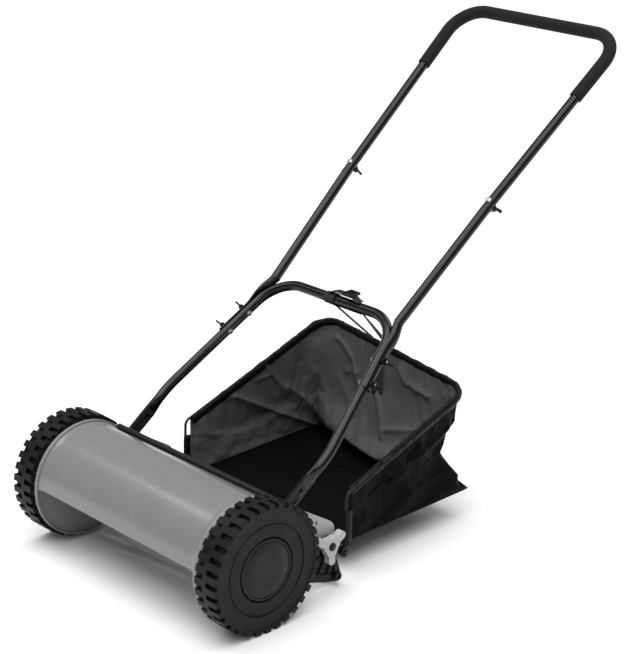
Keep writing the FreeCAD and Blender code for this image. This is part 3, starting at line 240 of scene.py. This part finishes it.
CAD_LOOKS = [
    (COWL_PAINT, 0.25, ["cowl"]),
    (PLATE_PAINT, 0.5, ["side_plate_left", "side_plate_right"]),
    (TUBE_BLACK, 0.3, ["lower_handle", "middle_handle_left", "middle_handle_right",
                       "upper_handle"]),
    (STEEL_BLACK, 0.4, ["rear_bar", "bed_bar", "bag_hangers", "bag_frame"]),
    (REEL_PAINT, 0.3, ["reel_shaft", "reel_spiders"]),
    (WHEEL, 0.5, ["wheel_left", "wheel_right"]),
    (TREAD, 0.8, ["tread_left", "tread_right"]),
    (CAP, 0.4, ["hub_cap_left", "hub_cap_right"]),
    (BLACK_PLASTIC, 0.4, ["height_bracket_left", "height_bracket_right", "rod_caps",
                          "knob_cap_left", "knob_cap_right", "strap_buckle"]),
    (BLACK_PLASTIC, 0.5, [f"joint_nut_{side}" for side in ("left", "right")]
     + [f"leg_nut_{row}_{side}" for row in (1, 2) for side in ("left", "right")]),
    (ROLLER, 0.4, ["rear_roller"]),
    (KNOB, 1.2, ["star_knob_left", "star_knob_right"]),
    (GEAR, 0.1, ["ring_gear_left", "ring_gear_right", "pinion_left", "pinion_right"]),
    (ZINC, 0.25, ["cowl_screws", "bed_knife_screws", "stub_axles", "axle_rings",
                  "bracket_pins", "clamp_studs", "leg_bolts", "joint_bolts",
                  "foot_bolts", "foot_spacers", "roller_rod"]),
    (BLADE, 0.15, ["bed_knife"] + [f"reel_blade_{number}" for number in range(1, 6)]),
    (BRONZE, 0.2, ["reel_bearings"]),
    (FOAM, 0.6, ["foam_grip"]),
]


def soften(thing, width):
    """Round a CAD node's sharp edges and shade the rest smoothly."""
    weld = thing.modifiers.new("weld", "WELD")
    weld.merge_threshold = 2e-6
    bevel = thing.modifiers.new("bevel", "BEVEL")
    bevel.width = width * MM
    bevel.segments = 2
    bevel.limit_method = "ANGLE"
    bevel.angle_limit = math.radians(38)
    bevel.use_clamp_overlap = True
    bevel.miter_outer = "MITER_ARC"
    normals = thing.modifiers.new("normals", "WEIGHTED_NORMAL")
    normals.keep_sharp = False
    thing.data.shade_smooth()


for look, edge, names in CAD_LOOKS:
    for name in names:
        thing = NODES[name]
        for slot in thing.material_slots:
            slot.material = look
        soften(thing, edge)


# ---------------------------------------------------------------- mesh helpers
def new_mesh(name, points, faces, materials):
    """A smooth-shaded object from points in metres and faces."""
    mesh = bpy.data.meshes.new(name)
    mesh.from_pydata([tuple(point) for point in points], [], faces)
    mesh.validate()
    mesh.shade_smooth()
    thing = bpy.data.objects.new(name, mesh)
    bpy.context.scene.collection.objects.link(thing)
    for material in materials:
        mesh.materials.append(material)
    return thing


def sweep_section(name, line, section, materials, up):
    """Carry a closed cross-section along a line, section(i) giving its (side, rise) offsets."""
    points = []
    faces = []
    count = len(line)
    size = 0
    for i, spot in enumerate(line):
        ahead = (line[min(i + 1, count - 1)] - line[max(i - 1, 0)]).normalized()
        lift = up(i) if callable(up) else up
        side = ahead.cross(lift).normalized()
        rise = side.cross(ahead).normalized()
        ring = section(i)
        size = len(ring)
        for a, b in ring:
            points.append(spot + side * a + rise * b)
    for i in range(count - 1):
        for j in range(size):
            a = i * size + j
            b = i * size + (j + 1) % size
            faces.append((a, b, b + size, a + size))
    faces.append(tuple(reversed(range(size))))
    faces.append(tuple(range((count - 1) * size, count * size)))
    return new_mesh(name, points, faces, materials)


def oval(wide, tall, sides=12, middle=(0.0, 0.0)):
    return [(middle[0] + wide * math.cos(2 * math.pi * k / sides),
             middle[1] + tall * math.sin(2 * math.pi * k / sides)) for k in range(sides)]


# ---------------------------------------------------------------- grass bag
# Corners of the wire rim and of the bag's floor: front right, rear right, rear left, front left.
RIM = [(216, 244, 161), (193, 560, 257), (-193, 570, 297), (-216, 244, 161)]
FLOOR = [(205, 237, 58), (199, 566, 60), (-199, 554, 68), (-205, 237, 58)]
SIDE_STEPS = 62
CORNER_STEPS = 12
BACK_STEPS = 80
UPPER_ROWS = 32
LOWER_ROWS = 14
# Where the empty walls cave in, from the front right round the back to the front left:
# share of the way round, then the place.
WAIST = [(0.00, (211, 237, 112)), (0.13, (201, 335, 112)), (0.20, (196, 430, 132)),
         (0.27, (193, 497, 144)), (0.30, (189, 505, 145)), (0.36, (150, 500, 120)),
         (0.46, (28, 492, 82)), (0.53, (-64, 502, 92)), (0.61, (-130, 515, 93)),
         (0.69, (-186, 530, 112)), (0.74, (-200, 505, 112)), (0.87, (-204, 380, 102)),
         (1.00, (-211, 237, 112))]
# Folds pressed into the walls: how far each stands into the bag, its width and its path.
CREASES = [
    (13, 9, [(-212, 340, 184), (-205, 445, 126), (-200, 545, 74)]),
    (11, 7, [(-202, 472, 172), (-201, 516, 133), (-195, 535, 108)]),
    (7, 6, [(-203, 420, 228), (-203, 444, 194), (-202, 475, 157)]),
    (5, 6, [(-204, 400, 200), (-203, 430, 206)]),
    (-6, 20, [(-203, 500, 215), (-203, 475, 140)]),
    (14, 6, [(-154, 555, 262), (-107, 548, 236), (-97, 542, 219), (-75, 534, 190)]),
    (9, 6, [(-118, 542, 206), (-83, 539, 213)]),
    (7, 12, [(-190, 555, 245), (-190, 540, 205), (-172, 524, 165)]),
    (8, 9, [(-138, 532, 188), (-82, 517, 145)]),
    (11, 7, [(28, 556, 252), (49, 547, 228), (113, 546, 221)]),
    (8, 9, [(24, 520, 133), (100, 524, 154)]),
    (12, 6, [(-18, 545, 190), (6, 525, 150), (21, 508, 118)]),
    (-7, 14, [(206, 330, 150), (199, 470, 175), (194, 540, 205)]),
    (-6, 12, [(202, 400, 95), (200, 500, 110), (198, 545, 90)]),
    (6, 9, [(205, 300, 130), (201, 380, 150), (198, 430, 190)]),
]


def around(outline, radius):
    """Points along the right side, the back and the left side of a four-cornered outline."""
    corners = [at(*spot) for spot in outline]
    points = []
    start = corners[0]
    for i, steps in ((1, SIDE_STEPS), (2, BACK_STEPS)):
        back = (corners[i - 1] - corners[i]).normalized()
        ahead = (corners[i + 1] - corners[i]).normalized()
        half = back.angle(ahead) / 2
        trim = radius * MM / math.tan(half)
        enter = corners[i] + back * trim
        leave = corners[i] + ahead * trim
        centre = corners[i] + (back + ahead).normalized() * (radius * MM / math.sin(half))
        first = enter - centre
        sweep = first.angle(leave - centre)
        axis = first.cross(leave - centre).normalized()
        points += [start.lerp(enter, k / steps) for k in range(steps)]
        points += [centre + Matrix.Rotation(sweep * k / CORNER_STEPS, 3, axis) @ first
                   for k in range(CORNER_STEPS)]
        start = leave
    points += [start.lerp(corners[3], k / SIDE_STEPS) for k in range(SIDE_STEPS + 1)]
    return points


def waist_at(share):
    """Place of the waist at a share of the way round the walls."""
    for (before, near), (after, far) in zip(WAIST, WAIST[1:]):
        if share <= after:
            return at(*near).lerp(at(*far), (share - before) / (after - before))
    return at(*WAIST[-1][1])


def crease_depth(spot):
    """How far the folds push a place on the walls into the bag."""
    total = 0.0
    for depth, width, path in CREASES:
        on_side = all(abs(place[0]) > 180 for place in path)
        flatten = Vector((0.2, 1, 1)) if on_side else Vector((1, 0.2, 1))
        nearest = 1.0
        for first, last in zip(path, path[1:]):
            start = at(*first) * flatten
            end = at(*last) * flatten
            share = geometry.intersect_point_line(spot * flatten, start, end)[1]
            foot = start.lerp(end, min(1.0, max(0.0, share)))
            nearest = min(nearest, (spot * flatten - foot).length)
        total += depth * MM * math.exp(-1.6 * nearest / (width * MM))
    return total


def hang_cloth(thing, held, frames, slack, limit):
    """Let a fabric panel, cut a little larger than its frame, hang from its held points."""
    mesh = thing.data
    before = [vertex.co.copy() for vertex in mesh.vertices]
    pins = thing.vertex_groups.new(name="held")
    pins.add(held, 1.0, "REPLACE")
    cloth = thing.modifiers.new("cloth", "CLOTH")
    fabric = cloth.settings
    fabric.quality = 6
    fabric.mass = 0.02
    fabric.tension_stiffness = 25
    fabric.compression_stiffness = 18
    fabric.shear_stiffness = 6
    fabric.bending_stiffness = 1.2
    fabric.air_damping = 2
    fabric.vertex_group_mass = "held"
    fabric.shrink_min = -slack
    fabric.shrink_max = -slack
    cloth.collision_settings.use_collision = False
    cloth.collision_settings.use_self_collision = False
    cloth.point_cache.frame_start = 1
    cloth.point_cache.frame_end = frames
    scene = bpy.context.scene
    for number in range(1, frames + 1):
        scene.frame_set(number)
    shaped = thing.evaluated_get(bpy.context.evaluated_depsgraph_get())
    after = [vertex.co.copy() for vertex in shaped.data.vertices]
    thing.modifiers.remove(cloth)
    thing.vertex_groups.remove(pins)
    for vertex, start, end in zip(mesh.vertices, before, after):
        move = end - start
        if move.length > limit:
            move = move.normalized() * limit
        vertex.co = start + move
    scene.frame_set(1)


def lay_threads(thing, columns, step):
    """Texture coordinates in metres, from each point's column and row."""
    uv = thing.data.uv_layers.new(name="UVMap")
    for loop in thing.data.loops:
        row, column = divmod(loop.vertex_index, columns)
        uv.data[loop.index].uv = (column * step, row * step)


def ride_bag(thing):
    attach(thing, "bag")


def make_bag_walls(rim, floor):
    columns = len(rim)
    rows = UPPER_ROWS + LOWER_ROWS
    middle = at(0, 400, 170)
    points = []
    for j in range(rows + 1):
        for i in range(columns):
            waist = waist_at(i / (columns - 1))
            if j <= UPPER_ROWS:
                spot = rim[i].lerp(waist, j / UPPER_ROWS)
            else:
                spot = waist.lerp(floor[i], (j - UPPER_ROWS) / LOWER_ROWS)
            inward = (middle - spot) * Vector((1, 1, 0))
            free = math.sin(math.pi * min(1, j / 6) / 2) * math.sin(
                math.pi * min(1, (rows - j) / 6) / 2)
            swell = noise.noise(spot * 11 + Vector((3, 1, 7))) * 6 * MM
            points.append(spot + inward.normalized() * swell * free)
    faces = [(j * columns + i, (j + 1) * columns + i, (j + 1) * columns + i + 1,
              j * columns + i + 1) for j in range(rows) for i in range(columns - 1)]
    # The solidify offset gives the outer faces the near-black nylon (painted shade) and the inner
    # faces the lighter nylon (painted light).
    walls = new_mesh("grass_bag_walls", points, faces, [BAG_OUTSIDE_PAINTED_SHADE, BAG_INSIDE_PAINTED_LIGHT])
    held = [j * columns + i for j in range(rows + 1) for i in range(columns)
            if j in (0, UPPER_ROWS, rows) or i in (0, columns - 1)]
    hang_cloth(walls, held, frames=22, slack=0.018, limit=12 * MM)
    lay_threads(walls, columns, 5 * MM)
    subdivide = walls.modifiers.new("subdivide", "SUBSURF")
    subdivide.levels = 1
    depsgraph = bpy.context.evaluated_depsgraph_get()
    walls.data = bpy.data.meshes.new_from_object(walls.evaluated_get(depsgraph))
    walls.modifiers.remove(subdivide)
    for vertex in walls.data.vertices:
        inward = (middle - vertex.co) * Vector((1, 1, 0))
        vertex.co += inward.normalized() * crease_depth(vertex.co)
    shell = walls.modifiers.new("shell", "SOLIDIFY")
    shell.thickness = 0.9 * MM
    shell.offset = 0
    shell.material_offset = 1
    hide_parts("grass_bag")
    ride_bag(walls)


def make_bag_floor():
    across = 40
    deep = 30
    front_right, rear_right, rear_left, front_left = (at(*spot) for spot in FLOOR)
    points = []
    for j in range(deep + 1):
        left = front_left.lerp(rear_left, j / deep)
        right = front_right.lerp(rear_right, j / deep)
        for i in range(across + 1):
            edge = math.sin(math.pi * i / across) * math.sin(math.pi * j / deep)
            wave = noise.noise(Vector((i * 0.16, j * 0.22, 5))) * 7 - 3
            points.append(left.lerp(right, i / across) + Vector((0, 0, wave * edge * MM)))
    faces = [(j * (across + 1) + i, j * (across + 1) + i + 1,
              (j + 1) * (across + 1) + i + 1, (j + 1) * (across + 1) + i)
             for j in range(deep) for i in range(across)]
    # The floor panel takes the near-black nylon, painted shade for the shade it lies in.
    panel = new_mesh("grass_bag_floor", points, faces, [BAG_OUTSIDE_PAINTED_SHADE])
    lay_threads(panel, across + 1, 10 * MM)
    shell = panel.modifiers.new("shell", "SOLIDIFY")
    shell.thickness = 1.6 * MM
    shell.offset = -1
    ride_bag(panel)


def make_bag_edges(rim, floor):
    """Corded floor seam, thick puckered binding over the rim, and sleeves on the uprights."""
    ride_bag(sweep_section("grass_bag_floor_seam", floor,
                           lambda i: oval(1.8 * MM, 1.8 * MM, 8), [BINDING],
                           Vector((0, 0, 1))))

    def binding_section(i):
        lump = noise.noise(Vector((i * 0.21, 0, 3))) * 2.2
        pucker = noise.noise(Vector((i * 0.8, 4, 3))) * 1.2
        return oval((5.6 + lump * 0.5 + pucker) * MM, (8.6 + lump + pucker) * MM, 16,
                    (0, -4.0 * MM))

    ride_bag(sweep_section("grass_bag_rim", rim, binding_section, [BINDING],
                           Vector((0, -0.3, 0.95))))
    for name, side in (("left", -1), ("right", 1)):
        foot = at(219.9 * side, 230.8, 60)
        head = at(219.9 * side, 233.4, 127)
        line = [foot.lerp(head, i / 24) for i in range(25)]

        def sleeve_section(i):
            lump = noise.noise(Vector((i * 0.5, side, 0))) * 0.7
            return oval((4.6 + lump) * MM, (9.5 + lump) * MM, 16, (0, 5.5 * MM))

        ride_bag(sweep_section(f"grass_bag_sleeve_{name}", line, sleeve_section, [BINDING],
                               Vector((0, 1, 0))))


def make_bag():
    rim = around(RIM, 42)
    floor = around(FLOOR, 10)
    make_bag_walls(rim, floor)
    make_bag_floor()
    make_bag_edges(rim, floor)


make_bag()


# ---------------------------------------------------------------- bag strap
BAR = (417.3, 413.6)
BAR_RADIUS = 9.4
WEB_WIDTH = 9 * MM
WEB_THICK = 1.4 * MM


def web_section(width):
    """Cross-section of a flat band, a little rounded at its edges."""
    half = width / 2
    rise = WEB_THICK / 2
    return [(-half, -rise * 0.5), (-half + rise, -rise), (half - rise, -rise),
            (half, -rise * 0.5), (half, rise * 0.5), (half - rise, rise),
            (-half + rise, rise), (-half, rise * 0.5)]


def strap_piece(name, line, width, up):
    return sweep_section(name, line, lambda i: web_section(width), [WEBBING], up)


def make_strap():
    """Webbing round the crossbar, two twisted bands down to the bag rim, and loose ends."""
    wraps = []
    for x, lift in ((-18.5, 1.2), (-5.5, 1.5)):
        line = []
        for k in range(37):
            angle = 2 * math.pi * k / 36
            reach = BAR_RADIUS + lift
            line.append(at(x, BAR[0] + reach * math.cos(angle), BAR[1] + reach * math.sin(angle)))
        centre = at(x, *BAR)
        wraps.append(strap_piece(f"strap_wrap_{x:.0f}", line, 13.4 * MM,
                                 lambda i, line=line, centre=centre: line[i] - centre))
    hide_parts("bag_strap")

    top = BAR[1] + BAR_RADIUS
    tail = [at(x, BAR[0], top + lift) for x, lift in (
        (-16, 2.6), (-8, 5.5), (0, 8.0), (10, 8.6), (24, 8.0), (38, 7.8), (48, 6.4),
        (53, 3.4), (57, 1.9), (62, 1.4))]
    wraps.append(strap_piece("strap_tail", tail, 16 * MM, Vector((0, 0, 1))))
    tie = [at(-10 + 76 * i / 16, BAR[0] + 2, BAR[1] - BAR_RADIUS - 1.5) for i in range(17)]
    wraps.append(strap_piece("strap_tie", tie, WEB_WIDTH, Vector((0, 0, 1))))
    for piece in wraps:
        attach(piece, "chassis")

    rim_right = at(*RIM[1])
    rim_left = at(*RIM[2])
    edge_on = Vector((-0.84, 0.03, 0.54))
    for name, start, x, twist in (("left", -10, -55, (10, 14)), ("right", 65, -12, (12, 62))):
        begin = at(start, BAR[0] + 2, BAR[1] - BAR_RADIUS - 1.1)
        end = rim_left.lerp(rim_right, (x + 193) / 386) + Vector((0, 0, 3 * MM))
        line = [begin.lerp(end, i / 30) for i in range(31)]
        run = (end - begin).normalized()

        def facing(i, run=run, twist=twist):
            angle = math.radians(twist[0] + (twist[1] - twist[0]) * i / 30)
            across = Matrix.Rotation(angle, 3, run) @ edge_on
            return across.cross(run)

        leg = strap_piece(f"strap_leg_{name}", line, WEB_WIDTH, facing)
        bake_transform(leg)

    top = at(-36, 562, 272)
    bottom = at(-20, 541, 190)
    hang = [top.lerp(bottom, i / 20) + Vector((0, -3 * MM * math.sin(math.pi * i / 20), 0))
            for i in range(21)]
    tab = sweep_section("strap_tab", hang, lambda i: web_section((19 + 9 * i / 20) * MM),
                        [WEBBING], Vector((0, -1, 0.2)))
    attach(tab, "bag")


make_strap()


# ---------------------------------------------------------------- floor, light and camera
def make_stage():
    floor = new_mesh("floor", [(-30, -30, 0), (30, -30, 0), (30, 30, 0), (-30, 30, 0)],
                     [(0, 1, 2, 3)], [])
    shade = Shade("floor_white", 0.9)
    shade.grey(shade.noise(3, 2), 0.86, 0.9)
    floor.data.materials.append(shade.material)
    floor.location.z = -0.0004

    world = bpy.data.worlds.new("studio")
    world.use_nodes = True
    world.node_tree.nodes["Background"].inputs["Color"].default_value = (1, 1, 1, 1)
    world.node_tree.nodes["Background"].inputs["Strength"].default_value = 0.3
    bpy.context.scene.world = world

    middle = Vector((0, 0, 0.4))
    sun = bpy.data.lights.new("sun", "SUN")
    sun.energy = 3.1
    sun.angle = math.radians(70)
    lamps = [(sun, (0.45, -0.4, 3.0))]
    for name, spot, power, side in (("key", (-1.6, -1.2, 3.0), 25, 1.6),
                                    ("fill", (2.6, -2.4, 2.2), 8, 1.4),
                                    ("back", (-0.6, 2.8, 2.6), 20, 1.6)):
        lamp = bpy.data.lights.new(name, "AREA")
        lamp.energy = power
        lamp.size = side
        lamps.append((lamp, spot))
    for lamp, spot in lamps:
        thing = bpy.data.objects.new(lamp.name, lamp)
        thing.location = spot
        thing.rotation_euler = (middle - thing.location).to_track_quat("-Z", "Y").to_euler()
        bpy.context.scene.collection.objects.link(thing)

    camera = bpy.data.cameras.new("camera")
    camera.lens = 106.9
    camera.sensor_width = 36
    camera.clip_end = 100
    thing = bpy.data.objects.new("camera", camera)
    thing.location = at(2424.4, -1873.4, 1580.2)
    aim = at(345.6, 38.7, 547.4) - thing.location
    thing.rotation_euler = aim.to_track_quat("-Z", "Y").to_euler()
    bpy.context.scene.collection.objects.link(thing)
    bpy.context.scene.camera = thing
    bpy.context.scene.view_settings.view_transform = "Standard"


make_stage()
